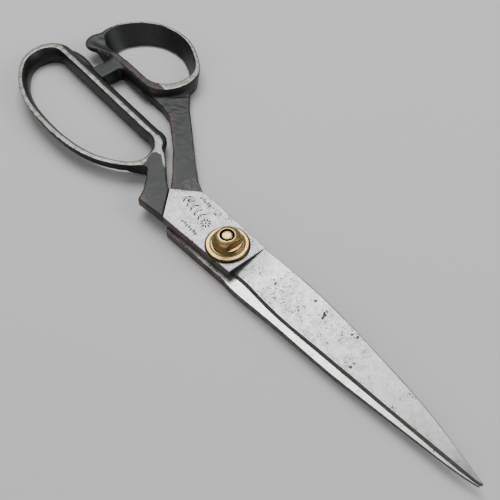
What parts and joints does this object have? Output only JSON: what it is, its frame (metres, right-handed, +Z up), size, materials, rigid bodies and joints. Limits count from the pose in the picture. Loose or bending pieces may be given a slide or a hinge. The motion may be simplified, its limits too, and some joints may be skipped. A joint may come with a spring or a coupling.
{
  "type": "fabric shears",
  "caption": "Tailor's fabric shears with an offset finger bow and thumb bow, stop strut, laminated blades and a brass nut on a pivot bolt.",
  "frame": {"origin": "on the pivot axis, at the underside of the bolt head, level with the surface the shears lie on", "axes": "+X to the blade tips, +Y to the thumb bow, +Z up along the pivot bolt through the nut"},
  "size_m": [0.2872, 0.086, 0.0156],
  "materials": {
    "lacquered_iron": "black lacquer over forged iron, satin, worn to bright iron on the rims with red undercoat at its edges",
    "ground_iron": "ground and hand-polished soft iron with fine grain and scattered pitting",
    "edge_steel": "hard steel layer, finely honed",
    "polished_brass": "polished pale brass, darker in the recesses"
  },
  "bodies": {
    "thumb_half": {"thumb_handle": "lacquered_iron", "thumb_blade_body": "ground_iron", "thumb_blade_edge": "edge_steel", "pivot_bolt": "polished_brass"},
    "finger_half": {"finger_handle": "lacquered_iron", "finger_blade_body": "ground_iron", "finger_blade_edge": "edge_steel"},
    "washer": {"knurled_washer": "polished_brass"},
    "nut": {"domed_nut": "polished_brass"}
  },
  "joints": [
    {"name": "blade_pivot", "type": "hinge", "parent": "thumb_half", "child": "finger_half", "pos_m": [0, 0, 0.009], "axis": [0, 0, 1], "range_deg": [0, 58]},
    {"name": "washer_lift", "type": "slide", "parent": "thumb_half", "child": "washer", "axis": [0, 0, 1], "range_m": [0, 0.001]},
    {"name": "nut_turn", "type": "hinge", "parent": "washer", "child": "nut", "pos_m": [0, 0, 0.0128], "axis": [0, 0, 1], "range_deg": [0, 360]}
  ],
  "couplings": [
    {"joint": "nut_turn", "follows": "washer_lift", "rad_per_m": 6283.2}
  ]
}
